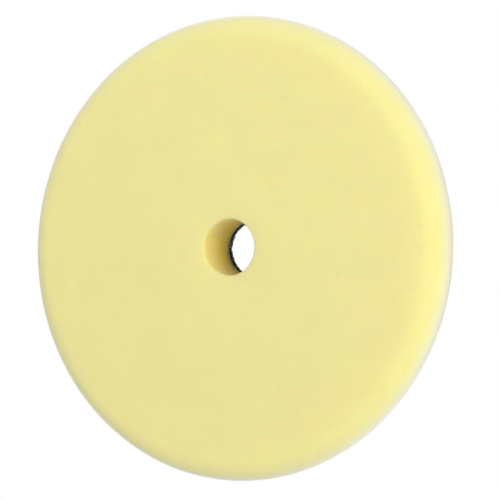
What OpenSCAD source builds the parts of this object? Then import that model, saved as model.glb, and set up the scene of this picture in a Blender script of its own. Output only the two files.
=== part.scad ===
// Round foam polishing pad with a hook-and-loop back, for a machine polisher.
// The pad stands on edge: it turns about the Y axis, its working face looks
// towards -Y, and the origin is the centre of the loop face that the machine's
// plate grips. Each piece is a ring of revolution about that axis.

/* [Foam disc] */
// Diameter of the foam at its widest, round the middle of the edge
pad_d = 165; // [80:1:230]
// Thickness of the foam, from its bonded back to the working face
foam_t = 18.4; // [12:0.2:50]
// Radius of the rounded shoulder between the working face and the side
shoulder_r = 8; // [2:0.5:16]
// How far the side draws in from the widest diameter to the back rim
side_draw_in = 6; // [0:0.5:12]

/* [Centre hole] */
// Diameter of the hole punched through foam and backing
hole_d = 20; // [6:0.5:40]
// Radius that softens the working face where the hole breaks through it
hole_lip_r = 0.6; // [0.2:0.1:2]

/* [Loop backing] */
// Width of the bare foam ring left around the loop disc
loop_margin = 1.5; // [0:0.25:6]
// Height of the raised loops that the machine's hooks catch
pile_h = 1.5; // [0.6:0.1:3]
// Thickness of the knitted cloth that the loops are knitted into
ground_t = 0.5; // [0.3:0.1:1.5]
// Thickness of the hot-melt film between the cloth and the foam
film_t = 0.3; // [0.1:0.1:1]

/* [Hidden] */
$fn = 180;

// Heights along the pad's axis, counted from the loop face
ground_h = pile_h;
film_h = ground_h + ground_t;
foam_h = film_h + film_t;
face_h = foam_h + foam_t;

// Radii about the pad's axis
pad_r = pad_d / 2;
hole_r = hole_d / 2;
foam_back_r = pad_r - side_draw_in;
loop_r = foam_back_r - loop_margin;

// The shoulder's arc takes up at most half of the foam's thickness
arc_r = min(shoulder_r, foam_t / 2);
arc_centre = [pad_r - arc_r, face_h - arc_r];
// The side runs straight from the back rim and meets the arc at a tangent
back_rim = [foam_back_r, foam_h];
rim_offset = back_rim - arc_centre;
side_slope = atan2(-rim_offset.y, rim_offset.x) - acos(arc_r / norm(rim_offset));
arc_end = arc_centre + arc_r * [cos(side_slope), -sin(side_slope)];

// Stands a shape of revolution on edge, its top towards the working face
module stand_on_edge() {
  rotate([90, 0, 0])
    rotate_extrude()
      children();
}

// Flat ring around the hole, from one height up to another
module punched_ring(outer_r, low_h, high_h) {
  stand_on_edge()
    translate([hole_r, low_h])
      square([outer_r - hole_r, high_h - low_h]);
}

// What the punch rounds off the foam where the hole meets the working face
module hole_lip_cut() {
  difference() {
    translate([hole_r, face_h - hole_lip_r])
      square(hole_lip_r);
    translate([hole_r + hole_lip_r, face_h - hole_lip_r])
      circle(hole_lip_r);
  }
}

// Open-cell polyurethane foam with a flat face, round shoulder and drawn-in side
module foam_disc() {
  color("#ece49a")
    stand_on_edge()
      difference() {
        union() {
          polygon([
            [hole_r, foam_h],
            back_rim,
            arc_end,
            arc_centre,
            [arc_centre.x, face_h],
            [hole_r, face_h]
          ]);
          translate(arc_centre)
            circle(arc_r);
        }
        hole_lip_cut();
      }
}

// Hot-melt film that bonds the loop cloth to the foam
module bond_film() {
  color("#d9cf8f")
    punched_ring(loop_r, film_h, foam_h);
}

// Knitted ground cloth of the loop fabric
module loop_ground() {
  color("#26241f")
    punched_ring(loop_r, ground_h, film_h);
}

// Brushed loops that stand on the ground cloth, as the ring of space they fill
module loop_pile() {
  color("#1d1b18")
    punched_ring(loop_r, 0, ground_h);
}

foam_disc();
bond_film();
loop_ground();
loop_pile();
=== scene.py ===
"""Foam polishing pad with a hook-and-loop back, laid out as a Blender add-on and run as a script.

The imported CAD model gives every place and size. The foam, the hot-melt film, the knitted ground
cloth and the loops are built as separate pieces around it, in the same frame: the pad's axis is Y,
its working face looks towards -Y and the centre of its loop face is the origin.
"""

import math

import bpy
import numpy as np
from bpy.props import FloatProperty, FloatVectorProperty, IntProperty, PointerProperty
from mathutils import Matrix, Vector


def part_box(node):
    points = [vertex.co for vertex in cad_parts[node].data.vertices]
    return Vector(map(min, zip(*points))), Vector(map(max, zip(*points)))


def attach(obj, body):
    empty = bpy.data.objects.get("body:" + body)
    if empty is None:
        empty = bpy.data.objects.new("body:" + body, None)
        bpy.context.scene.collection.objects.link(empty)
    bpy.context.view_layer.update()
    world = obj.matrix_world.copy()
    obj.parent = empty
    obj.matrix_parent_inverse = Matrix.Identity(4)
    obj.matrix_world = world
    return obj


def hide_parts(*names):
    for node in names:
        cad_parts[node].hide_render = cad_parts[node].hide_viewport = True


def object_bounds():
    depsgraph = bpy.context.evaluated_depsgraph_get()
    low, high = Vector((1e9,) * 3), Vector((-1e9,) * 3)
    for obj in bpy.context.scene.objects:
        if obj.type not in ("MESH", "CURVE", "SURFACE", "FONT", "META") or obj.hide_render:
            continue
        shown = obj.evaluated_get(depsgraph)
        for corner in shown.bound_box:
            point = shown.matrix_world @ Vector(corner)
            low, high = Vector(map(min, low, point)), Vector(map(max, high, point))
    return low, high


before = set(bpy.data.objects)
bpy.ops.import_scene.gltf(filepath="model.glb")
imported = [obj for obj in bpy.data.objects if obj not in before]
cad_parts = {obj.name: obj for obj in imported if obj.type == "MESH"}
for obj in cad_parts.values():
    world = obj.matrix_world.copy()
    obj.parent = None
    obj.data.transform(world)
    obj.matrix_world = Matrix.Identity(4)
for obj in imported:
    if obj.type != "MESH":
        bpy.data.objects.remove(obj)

bl_info = {
    "name": "Foam Polishing Pad",
    "version": (1, 0, 0),
    "blender": (4, 5, 0),
    "location": "3D View > Sidebar > Polishing Pad",
    "description": "Builds a foam polishing pad with a hook-and-loop back around its CAD model",
    "category": "Add Mesh",
}

MM = 0.001
BODY = "root"
CAD_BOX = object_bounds()

# Straight sides to a full turn of the foam and of the thin layers.
SIDES = 144
# Where along a thin layer's width its rings of points lie, closer together at the cut edges.
RING_SHARES = (0.05, 0.15, 0.3, 0.5, 0.75, 0.97)
# Shortest and tallest loops, as shares of the pile's height. The crowded edge rows stand taller.
ROW_STATURE = (0.85, 1.0)
EDGE_STATURE = (0.95, 1.08)
# The cut frays the yarn of the edge rows, so it is this much thicker.
EDGE_SWELL = 1.4
# How far a loop may lean along its row, turn about its foot and lean across its row, in radians.
LEAST_LEAN = (-0.35, -0.9, -0.35)
MOST_LEAN = (0.45, 0.9, 0.35)
# How fuzzy each cut leaves the foam, and how much of the light goes inside it.
SKIVED_FUZZ, SKIVED_SPREAD = 1.0, 0.8
PUNCHED_FUZZ, PUNCHED_SPREAD = 0.3, 1.0
FLOOR_RADIUS = 0.7
FLOOR_SIDES = 128


def linear(hex_colour):
    """The linear RGBA colour of an sRGB hex colour such as "#ece49a"."""
    values = [int(hex_colour[i : i + 2], 16) / 255 for i in (1, 3, 5)]
    return [v / 12.92 if v <= 0.04045 else ((v + 0.055) / 1.055) ** 2.4 for v in values] + [1.0]


# ------------------------------------------------------------------ sizes read from the frame


def radii_at(node, height):
    """The smallest and largest radius about the Y axis that a node has at a height along it."""
    points = np.array([v.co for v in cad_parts[node].data.vertices])
    level = points[np.abs(points[:, 1] - height) < 0.01 * MM]
    radii = np.hypot(level[:, 0], level[:, 2])
    return float(radii.min()), float(radii.max())


# The working face has the lowest Y of the foam, and the bonded back has the highest.
FACE_Y, BACK_Y = (corner.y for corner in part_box("foam_disc"))
PAD_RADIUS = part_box("foam_disc")[1].x
BACK_RIM_RADIUS = radii_at("foam_disc", BACK_Y)[1]
FLAT_INNER_RADIUS, FLAT_OUTER_RADIUS = radii_at("foam_disc", FACE_Y)
HOLE_RADIUS, LOOP_RADIUS = radii_at("loop_pile", 0.0)
FILM_Y = tuple(corner.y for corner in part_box("bond_film"))
GROUND_Y = tuple(corner.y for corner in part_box("loop_ground"))
PILE_Y = tuple(corner.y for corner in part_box("loop_pile"))


# ------------------------------------------------------------------ settings


class PadFoamSettings(bpy.types.PropertyGroup):
    mesh_step: FloatProperty(
        name="Mesh Step",
        description="Distance between neighbouring points of the foam's surface",
        default=0.45 * MM,
        unit="LENGTH",
    )
    cell_size: FloatProperty(
        name="Cell Size",
        description="Width of the foam's open cells as modelled on its surface",
        default=1.3 * MM,
        unit="LENGTH",
    )
    cell_depth: FloatProperty(
        name="Cell Depth",
        description="How deep the cut cells dip into the surface",
        default=0.02 * MM,
        unit="LENGTH",
    )
    pore_spacing: FloatProperty(
        name="Pore Spacing",
        description="Typical distance between the bubbles that leave a larger pore",
        default=7.0 * MM,
        unit="LENGTH",
    )
    pore_radius: FloatProperty(
        name="Pore Radius",
        description="Radius of the larger pores",
        default=0.6 * MM,
        unit="LENGTH",
    )
    unevenness: FloatProperty(
        name="Unevenness",
        description="How far the skived surface wanders from true",
        default=0.05 * MM,
        unit="LENGTH",
    )
    colour: FloatVectorProperty(
        name="Foam Colour",
        description="Colour of the skived foam",
        default=linear("#eee59a"),
        size=4,
        subtype="COLOR",
    )
    # Painted sheen: the shoulder and side are mixed towards this paler colour, standing in for the light
    # their grazing surface catches.
    painted_side_sheen: FloatVectorProperty(
        name="Painted Side Sheen",
        description="Colour of the ground side, where the fuzz of cut struts is thickest",
        default=linear("#f4efcb"),
        size=4,
        subtype="COLOR",
    )
    # Painted shade: the hole's wall is mixed towards this deeper colour, more towards the back, standing in
    # for the shade deep in the hole.
    painted_hole_shade: FloatVectorProperty(
        name="Painted Hole Shade",
        description="Colour of the wall that the punch leaves in the hole",
        default=linear("#eed452"),
        size=4,
        subtype="COLOR",
    )


class PadBackingSettings(bpy.types.PropertyGroup):
    row_pitch: FloatProperty(
        name="Row Pitch",
        description="Distance between rows of loops, and between the loops in a row",
        default=1.0 * MM,
        unit="LENGTH",
    )
    loop_width: FloatProperty(
        name="Loop Width",
        description="Distance between the two feet of a loop",
        default=0.7 * MM,
        unit="LENGTH",
    )
    edge_spacing: FloatProperty(
        name="Edge Spacing",
        description="Distance between the loops along the cut edges, where the punch crowds them together",
        default=0.14 * MM,
        unit="LENGTH",
    )
    yarn_radius: FloatProperty(
        name="Yarn Radius",
        description="Radius of the yarn that the loops are made of",
        default=0.085 * MM,
        unit="LENGTH",
    )
    fray: FloatProperty(
        name="Fray",
        description="How far the punched edges of cloth and film wander from round",
        default=0.12 * MM,
        unit="LENGTH",
    )
    loop_colour: FloatVectorProperty(
        name="Loop Colour",
        description="Colour of the brushed nylon loops",
        default=linear("#121110"),
        size=4,
        subtype="COLOR",
    )
    ground_colour: FloatVectorProperty(
        name="Ground Cloth Colour",
        description="Colour of the knitted nylon ground cloth",
        default=linear("#141310"),
        size=4,
        subtype="COLOR",
    )
    film_colour: FloatVectorProperty(
        name="Film Colour",
        description="Colour of the hot-melt film",
        default=linear("#b9ae6a"),
        size=4,
        subtype="COLOR",
    )
    seed: IntProperty(
        name="Seed",
        description="Seed of the loops' scatter",
        default=7,
    )


class PadStudioSettings(bpy.types.PropertyGroup):
    azimuth: FloatProperty(
        name="Azimuth",
        description="How far the camera stands round from the pad's axis, towards +X",
        default=math.radians(28.1),
        subtype="ANGLE",
    )
    elevation: FloatProperty(
        name="Elevation",
        description="How far the camera looks down",
        default=math.radians(-1.9),
        subtype="ANGLE",
    )
    distance: FloatProperty(
        name="Distance",
        description="Distance from the camera to the pad",
        default=1.2,
        unit="LENGTH",
    )
    lens: FloatProperty(
        name="Focal Length",
        description="Focal length of the camera on a 36 mm sensor, in millimetres",
        default=243.3,
    )
    aim_right: FloatProperty(
        name="Aim Right",
        description="How far right of the pad's middle the camera aims",
        default=2.6 * MM,
        unit="LENGTH",
    )
    aim_down: FloatProperty(
        name="Aim Down",
        description="How far below the pad's middle the camera aims",
        default=0.7 * MM,
        unit="LENGTH",
    )
    floor_drop: FloatProperty(
        name="Floor Drop",
        description="How far the floor lies below the pad",
        default=0.06,
        unit="LENGTH",
    )


# ------------------------------------------------------------------ shared steps


def add_node(tree, kind, inputs=None, **settings):
    """Adds a node with its settings. inputs gives its sockets, by name or number, a value or a link."""
    node = tree.nodes.new(kind)
    for name, value in settings.items():
        setattr(node, name, value)
    for socket, value in (inputs or {}).items():
        if isinstance(value, bpy.types.NodeSocket):
            tree.links.new(value, node.inputs[socket])
        else:
            node.inputs[socket].default_value = value
    return node


def new_material(name):
    """A material with an empty node tree, and the tree."""
    material = bpy.data.materials.new(name)
    material.use_nodes = True
    material.node_tree.nodes.clear()
    return material, material.node_tree


def linked_object(name, mesh, material):
    """A new object at the origin that shows a mesh in a material."""
    piece = bpy.data.objects.new(name, mesh)
    bpy.context.scene.collection.objects.link(piece)
    if material is not None:
        mesh.materials.append(material)
    return piece


def stitched(a, count_a, b, count_b):
    """The faces between two neighbouring rings of points, where one may have twice the other's."""
    few = min(count_a, count_b)
    i = np.arange(few)
    if count_a == count_b:
        j = (i + 1) % few
        return np.stack([a + i, a + j, b + j, b + i], 1).tolist()
    if count_b == 2 * count_a:
        j = (i + 1) % count_a
        mid, end = b + 2 * i + 1, b + (2 * i + 2) % count_b
        three = [(a + i, mid, b + 2 * i), (a + i, a + j, mid), (a + j, end, mid)]
    elif count_a == 2 * count_b:
        j = (i + 1) % count_b
        mid, end = a + 2 * i + 1, a + (2 * i + 2) % count_a
        three = [(a + 2 * i, mid, b + i), (mid, b + j, b + i), (mid, end, b + j)]
    else:
        raise RuntimeError("neighbouring rings differ by more than one doubling")
    return np.concatenate([np.stack(t, 1) for t in three]).tolist()


def turned_mesh(name, outline, step, base_count):
    """A closed mesh turned about the Y axis from a closed outline of (radius, height) points.

    Each ring has base_count points, doubled until they are no further apart than the step, so the
    faces keep about the same size from the hole to the rim.
    """
    points, faces, rings = [], [], []
    for radius, height in outline:
        wanted = 2 * math.pi * radius / (base_count * step)
        count = base_count * 2 ** max(0, math.ceil(math.log2(wanted)))
        angle = np.arange(count) * 2 * math.pi / count
        rings.append((len(points), count))
        ring = np.stack([radius * np.cos(angle), np.full(count, height), radius * np.sin(angle)], 1)
        points.extend(ring.tolist())
    for (a, count_a), (b, count_b) in zip(rings, rings[1:] + rings[:1]):
        faces.extend(stitched(a, count_a, b, count_b))
    mesh = bpy.data.meshes.new(name)
    mesh.from_pydata(points, [], faces)
    mesh.update()
    if enclosed_volume(mesh) < 0:
        mesh.flip_normals()
    mesh.shade_smooth()
    return mesh


def enclosed_volume(mesh):
    """The signed volume inside a closed mesh, positive where its faces point outwards."""
    mesh.calc_loop_triangles()
    corners = np.zeros(len(mesh.loop_triangles) * 3, np.int32)
    mesh.loop_triangles.foreach_get("vertices", corners)
    points = np.zeros(len(mesh.vertices) * 3, np.float32)
    mesh.vertices.foreach_get("co", points)
    a, b, c = points.reshape(-1, 3).astype(float)[corners].reshape(-1, 3, 3).transpose(1, 0, 2)
    return float(np.einsum("ij,ij->i", a, np.cross(b, c)).sum()) / 6


def stretch(start, end, step):
    """Points about a step apart along a straight line, without its last one."""
    count = max(1, round(math.dist(start, end) / step))
    return [tuple(np.array(start) + (np.array(end) - np.array(start)) * i / count) for i in range(count)]


def arc(centre, radius, start, end, step):
    """Points about a step apart round an arc, without its last one. Angle 0 is outwards."""
    count = max(2, round(abs(end - start) * radius / step))
    angles = [start + (end - start) * i / count for i in range(count)]
    return [(centre[0] + radius * math.cos(t), centre[1] + radius * math.sin(t)) for t in angles]


def add_tree(name, sizes):
    """A Geometry Nodes tree with a geometry input and output and an input for each named size."""
    tree = bpy.data.node_groups.new(name, "GeometryNodeTree")
    tree.interface.new_socket("Geometry", in_out="INPUT", socket_type="NodeSocketGeometry")
    for label, kind in sizes.items():
        tree.interface.new_socket(label, in_out="INPUT", socket_type=kind)
    tree.interface.new_socket("Geometry", in_out="OUTPUT", socket_type="NodeSocketGeometry")
    return tree, tree.nodes.new("NodeGroupInput").outputs


def run_tree(piece, tree, values):
    """Runs a tree on a piece with the given inputs, and keeps the result as the piece's plain mesh."""
    modifier = piece.modifiers.new(tree.name, "NODES")
    modifier.node_group = tree
    for item in tree.interface.items_tree:
        if item.in_out == "INPUT" and item.name in values:
            modifier[item.identifier] = values[item.name]
    depsgraph = bpy.context.evaluated_depsgraph_get()
    mesh = bpy.data.meshes.new_from_object(piece.evaluated_get(depsgraph), depsgraph=depsgraph)
    piece.modifiers.remove(modifier)
    mesh.name = piece.name
    piece.data = mesh
    return piece


# ------------------------------------------------------------------ materials


def foam_material(settings, name, fuzz, spread):
    """Open-cell polyurethane foam, skived to a flat face or cut by a punch.

    A matte surface with no gloss of its own. The cut cells leave a fine grain, light spreads a few
    millimetres inside the foam, and the fuzz of cut struts shows paler where the surface turns
    away. The shoulder and side are painted paler than the face, a painted sheen for the light that
    their grazing surface catches. The hole's wall is painted a deeper colour towards the back,
    painted shade for the shade deep in the hole, and the punch leaves it without the fuzz. The
    pores are painted darker in their middles, painted shade in their pits.
    """
    material, tree = new_material(name)
    place = add_node(tree, "ShaderNodeTexCoord").outputs["Object"]
    # Real cells are 0.3 to 0.5 mm wide, and are drawn a little coarser so that they show.
    cells = add_node(
        tree,
        "ShaderNodeTexVoronoi",
        {"Vector": place, "Scale": 1 / (0.55 * MM), "Randomness": 1.0},
    )
    mottle = add_node(
        tree,
        "ShaderNodeTexNoise",
        {"Vector": place, "Scale": 1 / (18 * MM), "Detail": 3.0, "Roughness": 0.6},
    )
    grain = add_node(
        tree,
        "ShaderNodeMapRange",
        {
            "Value": cells.outputs["Distance"],
            "From Min": 0.1,
            "From Max": 0.75,
            "To Min": 0.972,
            "To Max": 1.01,
        },
    )
    cloud = add_node(
        tree,
        "ShaderNodeMapRange",
        {"Value": mottle.outputs["Fac"], "From Min": 0.3, "From Max": 0.7, "To Min": 0.985, "To Max": 1.01},
    )
    pores = add_node(
        tree,
        "ShaderNodeTexVoronoi",
        {"Vector": place, "Scale": 1 / settings.pore_spacing},
    )
    # A pore is painted dark in its middle, painted shade in its pit, over its own radius as a share of the
    # spacing.
    painted_pore_shade = add_node(
        tree,
        "ShaderNodeMapRange",
        {
            "Value": pores.outputs["Distance"],
            "From Min": 0.0,
            "From Max": settings.pore_radius / settings.pore_spacing,
            "To Min": 0.9,
            "To Max": 1.0,
        },
        interpolation_type="SMOOTHSTEP",
    )
    clouded = add_node(
        tree,
        "ShaderNodeMath",
        {0: grain.outputs["Result"], 1: cloud.outputs["Result"]},
        operation="MULTIPLY",
    )
    # The grain and mottle, with the painted shade of the pores.
    tone = add_node(
        tree,
        "ShaderNodeMath",
        {0: clouded.outputs["Value"], 1: painted_pore_shade.outputs["Result"]},
        operation="MULTIPLY",
    )
    axis_offset = add_node(
        tree,
        "ShaderNodeVectorMath",
        {0: place, 1: (1.0, 0.0, 1.0)},
        operation="MULTIPLY",
    )
    radius = add_node(
        tree,
        "ShaderNodeVectorMath",
        {0: axis_offset.outputs["Vector"]},
        operation="LENGTH",
    )
    in_hole = add_node(
        tree,
        "ShaderNodeMapRange",
        {
            "Value": radius.outputs["Value"],
            "From Min": FLAT_INNER_RADIUS,
            "From Max": HOLE_RADIUS,
            "To Min": 0.0,
            "To Max": 1.0,
        },
    )
    height = add_node(tree, "ShaderNodeSeparateXYZ", {"Vector": place}).outputs["Y"]
    # Painted sheen: from just above the face up the shoulder and side, the colour is mixed towards the paler
    # side colour.
    side_sheen_mask = add_node(
        tree,
        "ShaderNodeMapRange",
        {"Value": height, "From Min": FACE_Y + 1.5 * MM, "From Max": FACE_Y + 9 * MM},
        interpolation_type="SMOOTHSTEP",
    )
    side_sheened = add_node(
        tree,
        "ShaderNodeMix",
        {"Factor": side_sheen_mask.outputs["Result"], "A": settings.colour[:], "B": settings.painted_side_sheen[:]},
        data_type="RGBA",
    )
    # Painted shade: in the hole the colour is mixed towards the deeper wall colour, more so towards the back.
    shade_by_depth = add_node(
        tree,
        "ShaderNodeMapRange",
        {"Value": height, "From Min": FACE_Y, "From Max": BACK_Y, "To Min": 0.45, "To Max": 1.25},
    )
    hole_shade_amount = add_node(
        tree,
        "ShaderNodeMath",
        {0: in_hole.outputs["Result"], 1: shade_by_depth.outputs["Result"]},
        operation="MULTIPLY",
        use_clamp=True,
    )
    hole_shaded = add_node(
        tree,
        "ShaderNodeMix",
        {"Factor": hole_shade_amount.outputs["Value"], "A": side_sheened.outputs["Result"], "B": settings.painted_hole_shade[:]},
        data_type="RGBA",
    )
    colour = add_node(
        tree,
        "ShaderNodeMix",
        {"Factor": 1.0, "A": hole_shaded.outputs["Result"], "B": tone.outputs["Value"]},
        data_type="RGBA",
        blend_type="MULTIPLY",
    )
    relief = add_node(
        tree,
        "ShaderNodeBump",
        {"Height": cells.outputs["Distance"], "Distance": 0.08 * MM, "Strength": 0.35},
    )
    shader = add_node(
        tree,
        "ShaderNodeBsdfPrincipled",
        {
            "Base Color": colour.outputs["Result"],
            "Roughness": 0.95,
            "IOR": 1.45,
            "Specular IOR Level": 0.5,
            "Subsurface Weight": spread,
            "Subsurface Radius": (1.0, 0.9, 0.4),
            "Subsurface Scale": 14 * MM,
            "Sheen Weight": fuzz,
            "Sheen Roughness": 0.5,
            "Sheen Tint": linear("#ffffff"),
            "Normal": relief.outputs["Normal"],
        },
    )
    add_node(tree, "ShaderNodeOutputMaterial", {"Surface": shader.outputs["BSDF"]})
    return material


def film_material(settings):
    """Hot-melt adhesive film: a semi-gloss, slightly cloudy yellow skin."""
    material, tree = new_material("hot-melt adhesive film")
    place = add_node(tree, "ShaderNodeTexCoord").outputs["Object"]
    cloud = add_node(
        tree,
        "ShaderNodeTexNoise",
        {"Vector": place, "Scale": 1 / (1.5 * MM), "Detail": 3.0},
    )
    gloss = add_node(
        tree,
        "ShaderNodeMapRange",
        {"Value": cloud.outputs["Fac"], "To Min": 0.3, "To Max": 0.55},
    )
    tint = add_node(
        tree,
        "ShaderNodeMapRange",
        {"Value": cloud.outputs["Fac"], "From Min": 0.3, "From Max": 0.7, "To Min": 0.8, "To Max": 1.05},
    )
    colour = add_node(
        tree,
        "ShaderNodeMix",
        {"Factor": 1.0, "A": settings.film_colour[:], "B": tint.outputs["Result"]},
        data_type="RGBA",
        blend_type="MULTIPLY",
    )
    shader = add_node(
        tree,
        "ShaderNodeBsdfPrincipled",
        {
            "Base Color": colour.outputs["Result"],
            "Roughness": gloss.outputs["Result"],
            "IOR": 1.48,
        },
    )
    add_node(tree, "ShaderNodeOutputMaterial", {"Surface": shader.outputs["BSDF"]})
    return material


def ground_material(settings):
    """Warp-knitted nylon ground cloth: near black, with ribs one row pitch apart."""
    material, tree = new_material("nylon ground cloth, warp knitted")
    place = add_node(tree, "ShaderNodeTexCoord").outputs["Object"]
    ribs = add_node(
        tree,
        "ShaderNodeTexWave",
        {"Vector": place, "Scale": math.pi / 10 / settings.row_pitch, "Distortion": 0.6, "Detail": 1.0},
        wave_type="BANDS",
        bands_direction="X",
    )
    fuzz = add_node(
        tree,
        "ShaderNodeTexNoise",
        {"Vector": place, "Scale": 1 / (0.3 * MM), "Detail": 2.0},
    )
    tone = add_node(
        tree,
        "ShaderNodeMapRange",
        {"Value": ribs.outputs["Fac"], "To Min": 0.6, "To Max": 1.5},
    )
    colour = add_node(
        tree,
        "ShaderNodeMix",
        {"Factor": 1.0, "A": settings.ground_colour[:], "B": tone.outputs["Result"]},
        data_type="RGBA",
        blend_type="MULTIPLY",
    )
    height = add_node(
        tree,
        "ShaderNodeMath",
        {0: ribs.outputs["Fac"], 1: fuzz.outputs["Fac"]},
        operation="ADD",
    )
    relief = add_node(
        tree,
        "ShaderNodeBump",
        {"Height": height.outputs["Value"], "Distance": 0.1 * MM, "Strength": 0.8},
    )
    shader = add_node(
        tree,
        "ShaderNodeBsdfPrincipled",
        {
            "Base Color": colour.outputs["Result"],
            "Roughness": 0.85,
            "IOR": 1.53,
            "Sheen Weight": 0.2,
            "Sheen Roughness": 0.4,
            "Normal": relief.outputs["Normal"],
        },
    )
    add_node(tree, "ShaderNodeOutputMaterial", {"Surface": shader.outputs["BSDF"]})
    return material


def loop_material(settings):
    """Brushed nylon yarn: near black, with the soft sheen of its fine filaments."""
    material, tree = new_material("nylon loop yarn, brushed")
    place = add_node(tree, "ShaderNodeTexCoord").outputs["Object"]
    nap = add_node(
        tree,
        "ShaderNodeTexNoise",
        {"Vector": place, "Scale": 1 / (6 * MM), "Detail": 4.0, "Roughness": 0.65},
    )
    tone = add_node(
        tree,
        "ShaderNodeMapRange",
        {"Value": nap.outputs["Fac"], "From Min": 0.3, "From Max": 0.7, "To Min": 0.7, "To Max": 1.5},
    )
    colour = add_node(
        tree,
        "ShaderNodeMix",
        {"Factor": 1.0, "A": settings.loop_colour[:], "B": tone.outputs["Result"]},
        data_type="RGBA",
        blend_type="MULTIPLY",
    )
    shader = add_node(
        tree,
        "ShaderNodeBsdfPrincipled",
        {
            "Base Color": colour.outputs["Result"],
            "Roughness": 0.75,
            "IOR": 1.53,
            "Sheen Weight": 0.05,
            "Sheen Roughness": 0.4,
        },
    )
    add_node(tree, "ShaderNodeOutputMaterial", {"Surface": shader.outputs["BSDF"]})
    return material


def floor_material():
    """Matte pale paint on a studio board, with its faint roller texture."""
    material, tree = new_material("studio board, matte paint")
    place = add_node(tree, "ShaderNodeTexCoord").outputs["Object"]
    roller = add_node(
        tree,
        "ShaderNodeTexNoise",
        {"Vector": place, "Scale": 1 / (4 * MM), "Detail": 2.0},
    )
    tone = add_node(
        tree,
        "ShaderNodeMix",
        {"Factor": roller.outputs["Fac"], "A": linear("#ececea"), "B": linear("#f0f0ef")},
        data_type="RGBA",
    )
    shader = add_node(
        tree,
        "ShaderNodeBsdfPrincipled",
        {"Base Color": tone.outputs["Result"], "Roughness": 0.9, "Specular IOR Level": 0.2},
    )
    add_node(tree, "ShaderNodeOutputMaterial", {"Surface": shader.outputs["BSDF"]})
    return material


# ------------------------------------------------------------------ trees


def open_cell_tree():
    """Moves a surface in and out along its normals: shallow cut cells, rarer pores and slow waves."""
    tree, given = add_tree(
        "open cells",
        {
            "Cell Size": "NodeSocketFloat",
            "Cell Depth": "NodeSocketFloat",
            "Pore Spacing": "NodeSocketFloat",
            "Pore Radius": "NodeSocketFloat",
            "Unevenness": "NodeSocketFloat",
            "Wall Radius": "NodeSocketFloat",
            "Material": "NodeSocketMaterial",
            "Wall Material": "NodeSocketMaterial",
        },
    )
    place = add_node(tree, "GeometryNodeInputPosition").outputs["Position"]
    cell_scale = add_node(tree, "ShaderNodeMath", {0: 1.0, 1: given["Cell Size"]}, operation="DIVIDE")
    cells = add_node(
        tree,
        "ShaderNodeTexVoronoi",
        {"Vector": place, "Scale": cell_scale.outputs[0]},
    )
    dip = add_node(
        tree,
        "ShaderNodeMapRange",
        {"Value": cells.outputs["Distance"], "From Min": 0.1, "From Max": 0.6, "To Min": -1.0, "To Max": 0.0},
        interpolation_type="SMOOTHSTEP",
    )
    cell_height = add_node(
        tree,
        "ShaderNodeMath",
        {0: dip.outputs["Result"], 1: given["Cell Depth"]},
        operation="MULTIPLY",
    )
    pore_scale = add_node(tree, "ShaderNodeMath", {0: 1.0, 1: given["Pore Spacing"]}, operation="DIVIDE")
    pores = add_node(
        tree,
        "ShaderNodeTexVoronoi",
        {"Vector": place, "Scale": pore_scale.outputs[0]},
    )
    pore_distance = add_node(
        tree,
        "ShaderNodeMath",
        {0: pores.outputs["Distance"], 1: given["Pore Spacing"]},
        operation="MULTIPLY",
    )
    pore_depth = add_node(tree, "ShaderNodeMath", {0: given["Pore Radius"], 1: -0.6}, operation="MULTIPLY")
    pore_height = add_node(
        tree,
        "ShaderNodeMapRange",
        {
            "Value": pore_distance.outputs[0],
            "From Min": 0.0,
            "From Max": given["Pore Radius"],
            "To Min": pore_depth.outputs[0],
            "To Max": 0.0,
        },
        interpolation_type="SMOOTHSTEP",
    )
    wave = add_node(
        tree,
        "ShaderNodeTexNoise",
        {"Vector": place, "Scale": 1 / (22 * MM), "Detail": 1.0},
    )
    wave_height = add_node(
        tree,
        "ShaderNodeMapRange",
        {"Value": wave.outputs["Fac"], "From Min": 0.25, "From Max": 0.75, "To Min": -1.0, "To Max": 1.0},
    )
    waves = add_node(
        tree,
        "ShaderNodeMath",
        {0: wave_height.outputs["Result"], 1: given["Unevenness"]},
        operation="MULTIPLY",
    )
    dips = add_node(
        tree,
        "ShaderNodeMath",
        {0: cell_height.outputs[0], 1: pore_height.outputs["Result"]},
        operation="ADD",
    )
    height = add_node(tree, "ShaderNodeMath", {0: dips.outputs[0], 1: waves.outputs[0]}, operation="ADD")
    normal = add_node(tree, "GeometryNodeInputNormal").outputs["Normal"]
    offset = add_node(
        tree,
        "ShaderNodeVectorMath",
        {0: normal, "Scale": height.outputs[0]},
        operation="SCALE",
    )
    moved = add_node(
        tree,
        "GeometryNodeSetPosition",
        {"Geometry": given["Geometry"], "Offset": offset.outputs["Vector"]},
    )
    whole = add_node(tree, "GeometryNodeRealizeInstances", {"Geometry": moved.outputs["Geometry"]})
    dressed = add_node(
        tree,
        "GeometryNodeSetMaterial",
        {"Geometry": whole.outputs["Geometry"], "Material": given["Material"]},
    )
    across = add_node(tree, "ShaderNodeVectorMath", {0: place, 1: (1.0, 0.0, 1.0)}, operation="MULTIPLY")
    radius = add_node(tree, "ShaderNodeVectorMath", {0: across.outputs["Vector"]}, operation="LENGTH")
    on_wall = add_node(
        tree,
        "ShaderNodeMath",
        {0: radius.outputs["Value"], 1: given["Wall Radius"]},
        operation="LESS_THAN",
    )
    walled = add_node(
        tree,
        "GeometryNodeSetMaterial",
        {
            "Geometry": dressed.outputs["Geometry"],
            "Selection": on_wall.outputs["Value"],
            "Material": given["Wall Material"],
        },
    )
    add_node(tree, "NodeGroupOutput", {"Geometry": walled.outputs["Geometry"]})
    return tree


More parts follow.
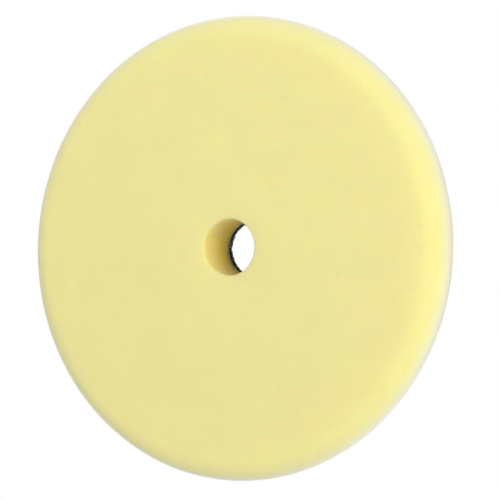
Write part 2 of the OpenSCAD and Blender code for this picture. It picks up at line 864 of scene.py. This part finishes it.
def yarn_loop_tree():
    """One arched loop of yarn that stands on the origin with its feet apart along Z."""
    tree, given = add_tree(
        "yarn loop",
        {
            "Loop Width": "NodeSocketFloat",
            "Loop Height": "NodeSocketFloat",
            "Yarn Radius": "NodeSocketFloat",
        },
    )
    half_width = add_node(tree, "ShaderNodeMath", {0: given["Loop Width"], 1: 0.5}, operation="MULTIPLY")
    half_back = add_node(tree, "ShaderNodeMath", {0: given["Loop Width"], 1: -0.5}, operation="MULTIPLY")
    # The arch reaches three quarters of the way to its handles, which bow its sides outwards.
    handle_rise = add_node(tree, "ShaderNodeMath", {0: given["Loop Height"], 1: 4 / 3}, operation="MULTIPLY")
    handle_out = add_node(tree, "ShaderNodeMath", {0: given["Loop Width"], 1: 1.3}, operation="MULTIPLY")
    handle_back = add_node(tree, "ShaderNodeMath", {0: given["Loop Width"], 1: -0.7}, operation="MULTIPLY")
    foot_a = add_node(tree, "ShaderNodeCombineXYZ", {"Z": half_back.outputs[0]})
    foot_b = add_node(tree, "ShaderNodeCombineXYZ", {"Z": half_width.outputs[0]})
    handle_a = add_node(
        tree,
        "ShaderNodeCombineXYZ",
        {"Y": handle_rise.outputs[0], "Z": handle_back.outputs[0]},
    )
    handle_b = add_node(
        tree,
        "ShaderNodeCombineXYZ",
        {"Y": handle_rise.outputs[0], "Z": handle_out.outputs[0]},
    )
    arch = add_node(
        tree,
        "GeometryNodeCurvePrimitiveBezierSegment",
        {
            "Resolution": 6,
            "Start": foot_a.outputs["Vector"],
            "Start Handle": handle_a.outputs["Vector"],
            "End Handle": handle_b.outputs["Vector"],
            "End": foot_b.outputs["Vector"],
        },
        mode="POSITION",
    )
    section = add_node(
        tree,
        "GeometryNodeCurvePrimitiveCircle",
        {"Resolution": 3, "Radius": given["Yarn Radius"]},
    )
    yarn = add_node(
        tree,
        "GeometryNodeCurveToMesh",
        {
            "Curve": arch.outputs["Curve"],
            "Profile Curve": section.outputs["Curve"],
            "Fill Caps": True,
        },
    )
    add_node(tree, "NodeGroupOutput", {"Geometry": yarn.outputs["Mesh"]})
    return tree


def stand_loops(tree, given, feet, facing, stature_range):
    """Ends a tree with yarn loops on its feet points, each leaning a little its own way."""
    shortest, tallest = stature_range
    yarn = tree.nodes.new("GeometryNodeGroup")
    yarn.node_tree = yarn_loop_tree()
    for name in ("Loop Width", "Loop Height", "Yarn Radius"):
        tree.links.new(given[name], yarn.inputs[name])
    lean = add_node(
        tree,
        "FunctionNodeRandomValue",
        {0: LEAST_LEAN, 1: MOST_LEAN, "Seed": given["Seed"]},
        data_type="FLOAT_VECTOR",
    )
    stature = add_node(
        tree,
        "FunctionNodeRandomValue",
        {0: (0.8, shortest, 0.8), 1: (1.2, tallest, 1.25), "Seed": given["Seed"]},
        data_type="FLOAT_VECTOR",
    )
    turned = add_node(
        tree,
        "FunctionNodeRotateRotation",
        {"Rotation": facing, "Rotate By": lean.outputs["Value"]},
        rotation_space="LOCAL",
    )
    standing = add_node(
        tree,
        "GeometryNodeInstanceOnPoints",
        {
            "Points": feet,
            "Instance": yarn.outputs["Geometry"],
            "Rotation": turned.outputs["Rotation"],
            "Scale": stature.outputs["Value"],
        },
    )
    whole = add_node(tree, "GeometryNodeRealizeInstances", {"Geometry": standing.outputs["Instances"]})
    smooth = add_node(tree, "GeometryNodeSetShadeSmooth", {"Geometry": whole.outputs["Geometry"]})
    dressed = add_node(
        tree,
        "GeometryNodeSetMaterial",
        {"Geometry": smooth.outputs["Geometry"], "Material": given["Material"]},
    )
    add_node(tree, "NodeGroupOutput", {"Geometry": dressed.outputs["Geometry"]})


def loop_rows_tree():
    """Rows of standing yarn loops over one quarter of the ring between the hole and the rim."""
    tree, given = add_tree(
        "loop rows",
        {
            "Quarter Centre": "NodeSocketVector",
            "Quarter Side": "NodeSocketFloat",
            "Inner Radius": "NodeSocketFloat",
            "Outer Radius": "NodeSocketFloat",
            "Pitch": "NodeSocketFloat",
            "Loop Width": "NodeSocketFloat",
            "Loop Height": "NodeSocketFloat",
            "Yarn Radius": "NodeSocketFloat",
            "Seed": "NodeSocketInt",
            "Material": "NodeSocketMaterial",
        },
    )
    steps = add_node(
        tree,
        "ShaderNodeMath",
        {0: given["Quarter Side"], 1: given["Pitch"]},
        operation="DIVIDE",
    )
    inside = add_node(
        tree,
        "ShaderNodeMath",
        {0: given["Quarter Side"], 1: given["Pitch"]},
        operation="SUBTRACT",
    )
    grid = add_node(
        tree,
        "GeometryNodeMeshGrid",
        {
            "Size X": inside.outputs[0],
            "Size Y": inside.outputs[0],
            "Vertices X": steps.outputs[0],
            "Vertices Y": steps.outputs[0],
        },
    )
    placed = add_node(
        tree,
        "GeometryNodeTransform",
        {
            "Geometry": grid.outputs["Mesh"],
            "Translation": given["Quarter Centre"],
            "Rotation": (math.pi / 2, 0.0, 0.0),
        },
    )
    shake = add_node(tree, "ShaderNodeMath", {0: given["Pitch"], 1: 0.3}, operation="MULTIPLY")
    shake_back = add_node(tree, "ShaderNodeMath", {0: shake.outputs[0], 1: -1.0}, operation="MULTIPLY")
    low = add_node(tree, "ShaderNodeCombineXYZ", {"X": shake_back.outputs[0], "Z": shake_back.outputs[0]})
    high = add_node(tree, "ShaderNodeCombineXYZ", {"X": shake.outputs[0], "Z": shake.outputs[0]})
    scatter = add_node(
        tree,
        "FunctionNodeRandomValue",
        {0: low.outputs["Vector"], 1: high.outputs["Vector"], "Seed": given["Seed"]},
        data_type="FLOAT_VECTOR",
    )
    shaken = add_node(
        tree,
        "GeometryNodeSetPosition",
        {"Geometry": placed.outputs["Geometry"], "Offset": scatter.outputs["Value"]},
    )
    split = add_node(
        tree,
        "ShaderNodeSeparateXYZ",
        {"Vector": add_node(tree, "GeometryNodeInputPosition").outputs["Position"]},
    )
    flat = add_node(tree, "ShaderNodeCombineXYZ", {"X": split.outputs["X"], "Z": split.outputs["Z"]})
    radius = add_node(tree, "ShaderNodeVectorMath", {0: flat.outputs["Vector"]}, operation="LENGTH")
    too_near = add_node(
        tree,
        "FunctionNodeCompare",
        {0: radius.outputs["Value"], 1: given["Inner Radius"]},
        operation="LESS_THAN",
    )
    too_far = add_node(
        tree,
        "FunctionNodeCompare",
        {0: radius.outputs["Value"], 1: given["Outer Radius"]},
        operation="GREATER_THAN",
    )
    off_ring = add_node(
        tree,
        "FunctionNodeBooleanMath",
        {0: too_near.outputs["Result"], 1: too_far.outputs["Result"]},
        operation="OR",
    )
    feet = add_node(
        tree,
        "GeometryNodeDeleteGeometry",
        {"Geometry": shaken.outputs["Geometry"], "Selection": off_ring.outputs["Boolean"]},
    )
    upright = add_node(tree, "FunctionNodeEulerToRotation")
    stand_loops(tree, given, feet.outputs["Geometry"], upright.outputs["Rotation"], ROW_STATURE)
    return tree


def cut_edge_tree():
    """A close row of yarn loops along each of the two punched edges of the cloth."""
    tree, given = add_tree(
        "loops on cut edges",
        {
            "Height": "NodeSocketFloat",
            "Inner Radius": "NodeSocketFloat",
            "Outer Radius": "NodeSocketFloat",
            "Spacing": "NodeSocketFloat",
            "Loop Width": "NodeSocketFloat",
            "Loop Height": "NodeSocketFloat",
            "Yarn Radius": "NodeSocketFloat",
            "Seed": "NodeSocketInt",
            "Material": "NodeSocketMaterial",
        },
    )
    place = add_node(tree, "ShaderNodeCombineXYZ", {"Y": given["Height"]})
    edges = tree.nodes.new("GeometryNodeJoinGeometry")
    for radius in ("Inner Radius", "Outer Radius"):
        circle = add_node(
            tree,
            "GeometryNodeCurvePrimitiveCircle",
            {"Resolution": 512, "Radius": given[radius]},
        )
        tree.links.new(circle.outputs["Curve"], edges.inputs["Geometry"])
    laid = add_node(
        tree,
        "GeometryNodeTransform",
        {
            "Geometry": edges.outputs["Geometry"],
            "Translation": place.outputs["Vector"],
            "Rotation": (math.pi / 2, 0.0, 0.0),
        },
    )
    feet = add_node(
        tree,
        "GeometryNodeCurveToPoints",
        {"Curve": laid.outputs["Geometry"], "Length": given["Spacing"]},
        mode="LENGTH",
    )
    along = add_node(
        tree,
        "FunctionNodeAlignRotationToVector",
        {"Vector": feet.outputs["Tangent"]},
        axis="Z",
        pivot_axis="Y",
    )
    stand_loops(tree, given, feet.outputs["Points"], along.outputs["Rotation"], EDGE_STATURE)
    return tree


# ------------------------------------------------------------------ pieces


def foam_outline(step):
    """The foam's outline from the hole's back edge round the working face to the hole again."""
    lip_radius = FLAT_INNER_RADIUS - HOLE_RADIUS
    shoulder = PAD_RADIUS - FLAT_OUTER_RADIUS
    lip_centre = (FLAT_INNER_RADIUS, FACE_Y + lip_radius)
    arc_centre = (FLAT_OUTER_RADIUS, FACE_Y + shoulder)
    # The side is the straight line from the back rim that meets the shoulder's arc at a tangent.
    out, up = BACK_RIM_RADIUS - arc_centre[0], BACK_Y - arc_centre[1]
    slope = math.atan2(up, out) - math.acos(shoulder / math.hypot(out, up))
    arc_end = (arc_centre[0] + shoulder * math.cos(slope), arc_centre[1] + shoulder * math.sin(slope))
    back_edge = (BACK_RIM_RADIUS, BACK_Y)
    hidden_radii = [LOOP_RADIUS * share for share in (0.98, 0.8, 0.6, 0.4, 0.27, 0.18)]
    return [
        *stretch((HOLE_RADIUS, BACK_Y), (HOLE_RADIUS, lip_centre[1]), step),
        *arc(lip_centre, lip_radius, math.pi, 1.5 * math.pi, step / 3),
        *stretch((FLAT_INNER_RADIUS, FACE_Y), (FLAT_OUTER_RADIUS, FACE_Y), step),
        *arc(arc_centre, shoulder, -math.pi / 2, slope, step),
        *stretch(arc_end, back_edge, step),
        *stretch(back_edge, (LOOP_RADIUS, BACK_Y), step),
        *[(radius, BACK_Y) for radius in hidden_radii],
    ]


class PAD_OT_foam(bpy.types.Operator):
    """Build the foam disc, with its cut cells and pores as real relief"""

    bl_idname = "polishing_pad.foam"
    bl_label = "Foam Disc"

    def execute(self, context):
        settings = context.scene.pad_foam
        mesh = turned_mesh("foam", foam_outline(settings.mesh_step), settings.mesh_step * 4 / 3, SIDES)
        foam = linked_object("foam", mesh, None)
        kind = "polyurethane foam, open cell"
        skived = foam_material(settings, f"{kind}, skived", SKIVED_FUZZ, SKIVED_SPREAD)
        punched = foam_material(settings, f"{kind}, punched", PUNCHED_FUZZ, PUNCHED_SPREAD)
        run_tree(
            foam,
            open_cell_tree(),
            {
                "Cell Size": settings.cell_size,
                "Cell Depth": settings.cell_depth,
                "Pore Spacing": settings.pore_spacing,
                "Pore Radius": settings.pore_radius,
                "Unevenness": settings.unevenness,
                "Wall Radius": FLAT_INNER_RADIUS,
                "Material": skived,
                "Wall Material": punched,
            },
        )
        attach(foam, BODY)
        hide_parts("foam_disc")
        return {"FINISHED"}


def punched_layer(name, low_y, high_y, outer_radius, step, fray, seed):
    """A thin layer round the hole whose punched edges wander a little from round."""
    width = outer_radius - HOLE_RADIUS
    rows = [HOLE_RADIUS, *(HOLE_RADIUS + width * share for share in RING_SHARES), outer_radius]
    bulge = (high_y - low_y) / 4
    outline = [(radius, low_y) for radius in rows]
    outline += [(outer_radius + bulge, (low_y + high_y) / 2)]
    outline += [(radius, high_y) for radius in reversed(rows)]
    mesh = turned_mesh(name, outline, step, SIDES)
    rng = np.random.default_rng(seed)
    points = np.zeros(len(mesh.vertices) * 3, np.float32)
    mesh.vertices.foreach_get("co", points)
    points = points.reshape(-1, 3)
    radius = np.hypot(points[:, 0], points[:, 2])
    edge = radius > 0.985 * outer_radius
    stray = 1 + fray / outer_radius * rng.uniform(-1, 0.3, edge.sum())
    points[edge] *= stray[:, None] * [1, 0, 1] + [0, 1, 0]
    mesh.vertices.foreach_set("co", points.ravel())
    mesh.update()
    return mesh


class PAD_OT_film(bpy.types.Operator):
    """Build the hot-melt film that bonds the cloth to the foam"""

    bl_idname = "polishing_pad.film"
    bl_label = "Bond Film"

    def execute(self, context):
        settings = context.scene.pad_backing
        mesh = punched_layer("film", *FILM_Y, LOOP_RADIUS, 1.0 * MM, settings.fray, 3)
        film = linked_object("film", mesh, film_material(settings))
        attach(film, BODY)
        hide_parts("bond_film")
        return {"FINISHED"}


class PAD_OT_backing(bpy.types.Operator):
    """Build the knitted ground cloth and the loops that stand on it"""

    bl_idname = "polishing_pad.backing"
    bl_label = "Loop Backing"

    def execute(self, context):
        settings = context.scene.pad_backing
        mesh = punched_layer("ground_cloth", *GROUND_Y, LOOP_RADIUS, 0.8 * MM, settings.fray, 5)
        cloth = linked_object("ground_cloth", mesh, ground_material(settings))
        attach(cloth, BODY)
        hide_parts("loop_ground")
        pile = self.stand_rows(settings, loop_material(settings))
        return {"FINISHED"}

    def stand_rows(self, settings, yarn):
        """Stands the loops on the cloth: four quarters of rows, and the rows along its cut edges."""
        shared = {
            "Loop Width": settings.loop_width,
            "Loop Height": PILE_Y[1] - PILE_Y[0] - settings.yarn_radius,
            "Yarn Radius": settings.yarn_radius,
            "Material": yarn,
        }
        rows = loop_rows_tree()
        pile = []
        for number, (side_x, side_z) in enumerate(((-1, -1), (1, -1), (-1, 1), (1, 1)), 1):
            quarter = linked_object(f"loops_{number}", bpy.data.meshes.new("loops"), None)
            place = {
                "Quarter Centre": (side_x * LOOP_RADIUS / 2, PILE_Y[0], side_z * LOOP_RADIUS / 2),
                "Quarter Side": LOOP_RADIUS,
                "Inner Radius": HOLE_RADIUS + settings.loop_width / 2,
                "Outer Radius": LOOP_RADIUS - settings.loop_width / 2,
                "Pitch": settings.row_pitch,
                "Seed": settings.seed + number,
            }
            pile.append(run_tree(quarter, rows, {**shared, **place}))
        edges = linked_object("loops_on_edges", bpy.data.meshes.new("loops"), None)
        place = {
            "Height": PILE_Y[0],
            "Inner Radius": HOLE_RADIUS + settings.yarn_radius,
            "Outer Radius": LOOP_RADIUS - 2 * settings.yarn_radius,
            "Spacing": settings.edge_spacing,
            "Yarn Radius": settings.yarn_radius * EDGE_SWELL,
            "Seed": settings.seed,
        }
        pile.append(run_tree(edges, cut_edge_tree(), {**shared, **place}))
        for piece in pile:
            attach(piece, BODY)
            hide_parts("loop_pile")
        return pile


# ------------------------------------------------------------------ studio


def way_to(azimuth, elevation):
    """The direction that an azimuth, from the working face towards +X, and an elevation give."""
    flat = math.cos(elevation)
    return Vector((math.sin(azimuth) * flat, -math.cos(azimuth) * flat, math.sin(elevation)))


def add_lamp(name, target, azimuth, elevation, distance, side, power):
    """A square soft light that looks at a point from an azimuth and elevation in degrees."""
    way = way_to(math.radians(azimuth), math.radians(elevation))
    light = bpy.data.lights.new(name, "AREA")
    light.shape = "SQUARE"
    light.size = side
    light.energy = power
    lamp = bpy.data.objects.new(name, light)
    lamp.location = target + way * distance
    lamp.rotation_euler = way.to_track_quat("Z", "Y").to_euler()
    bpy.context.scene.collection.objects.link(lamp)
    return lamp


class PAD_OT_stage(bpy.types.Operator):
    """Set up the pale floor, the soft studio light and the camera"""

    bl_idname = "polishing_pad.stage"
    bl_label = "Studio"

    def execute(self, context):
        settings = context.scene.pad_studio
        low, high = CAD_BOX
        middle = (low + high) / 2
        self.add_floor(low.z - settings.floor_drop)
        self.add_lights(middle)
        self.add_world()
        self.add_camera(settings, middle)
        context.scene.view_settings.view_transform = "Standard"
        return {"FINISHED"}

    def add_floor(self, height):
        """A round pale board below the pad."""
        angles = [2 * math.pi * i / FLOOR_SIDES for i in range(FLOOR_SIDES)]
        rim = [(FLOOR_RADIUS * math.cos(a), FLOOR_RADIUS * math.sin(a), height) for a in angles]
        mesh = bpy.data.meshes.new("floor")
        mesh.from_pydata(rim, [], [list(range(FLOOR_SIDES))])
        linked_object("floor", mesh, floor_material())

    def add_lights(self, middle):
        """A large soft key from the right, a front fill, a rim light behind and one overhead."""
        add_lamp("key", middle, azimuth=60, elevation=12, distance=1.9, side=1.2, power=26)
        add_lamp("fill", middle, azimuth=0, elevation=0, distance=1.9, side=1.0, power=11)
        add_lamp("rim", middle, azimuth=125, elevation=4, distance=1.5, side=0.6, power=3.3)
        add_lamp("overhead", middle, azimuth=0, elevation=88, distance=1.2, side=0.8, power=3.6)

    def add_world(self):
        """Soft light from the left half of the studio, and a plain white view behind the pad."""
        world = bpy.data.worlds.new("studio")
        bpy.context.scene.world = world
        world.use_nodes = True
        tree = world.node_tree
        tree.nodes.clear()
        way = add_node(tree, "ShaderNodeTexCoord").outputs["Generated"]
        split = add_node(tree, "ShaderNodeSeparateXYZ", {"Vector": way})
        strength = add_node(
            tree,
            "ShaderNodeMapRange",
            {"Value": split.outputs["X"], "From Min": -0.5, "From Max": 0.3, "To Min": 0.61, "To Max": 0.0},
            interpolation_type="SMOOTHSTEP",
        )
        soft = add_node(
            tree,
            "ShaderNodeBackground",
            {"Color": linear("#ffffff"), "Strength": strength.outputs["Result"]},
        )
        white = add_node(tree, "ShaderNodeBackground", {"Color": linear("#ffffff"), "Strength": 1.0})
        seen = add_node(tree, "ShaderNodeLightPath").outputs["Is Camera Ray"]
        mixed = add_node(
            tree,
            "ShaderNodeMixShader",
            {0: seen, 1: soft.outputs["Background"], 2: white.outputs["Background"]},
        )
        add_node(tree, "ShaderNodeOutputWorld", {"Surface": mixed.outputs["Shader"]})

    def add_camera(self, settings, middle):
        """A long lens at the pad's height, looking at the working face from its right."""
        back = way_to(settings.azimuth, settings.elevation)
        turn = (-back).to_track_quat("-Z", "Y")
        aim = middle + turn @ Vector((settings.aim_right, -settings.aim_down, 0.0))
        data = bpy.data.cameras.new("camera")
        data.lens = settings.lens
        camera = bpy.data.objects.new("camera", data)
        camera.location = aim + back * settings.distance
        camera.rotation_euler = turn.to_euler()
        bpy.context.scene.collection.objects.link(camera)
        bpy.context.scene.camera = camera


class PAD_PT_sidebar(bpy.types.Panel):
    """Lists the pad's pieces in the sidebar, in the order they are built"""

    bl_idname = "PAD_PT_sidebar"
    bl_label = "Polishing Pad"
    bl_space_type = "VIEW_3D"
    bl_region_type = "UI"
    bl_category = "Polishing Pad"

    def draw(self, context):
        for operator in OPERATORS:
            self.layout.operator(operator.bl_idname)
        for group in (context.scene.pad_foam, context.scene.pad_backing, context.scene.pad_studio):
            box = self.layout.box()
            for name in group.__annotations__:
                box.prop(group, name)


OPERATORS = (PAD_OT_stage, PAD_OT_foam, PAD_OT_film, PAD_OT_backing)
CLASSES = (PadFoamSettings, PadBackingSettings, PadStudioSettings, *OPERATORS, PAD_PT_sidebar)


def register():
    for item in CLASSES:
        bpy.utils.register_class(item)
    bpy.types.Scene.pad_foam = PointerProperty(type=PadFoamSettings)
    bpy.types.Scene.pad_backing = PointerProperty(type=PadBackingSettings)
    bpy.types.Scene.pad_studio = PointerProperty(type=PadStudioSettings)


def unregister():
    del bpy.types.Scene.pad_studio
    del bpy.types.Scene.pad_backing
    del bpy.types.Scene.pad_foam
    for item in reversed(CLASSES):
        bpy.utils.unregister_class(item)


def main():
    register()
    bpy.ops.polishing_pad.stage()
    bpy.ops.polishing_pad.foam()
    bpy.ops.polishing_pad.film()
    bpy.ops.polishing_pad.backing()


if __name__ == "__main__":
    main()
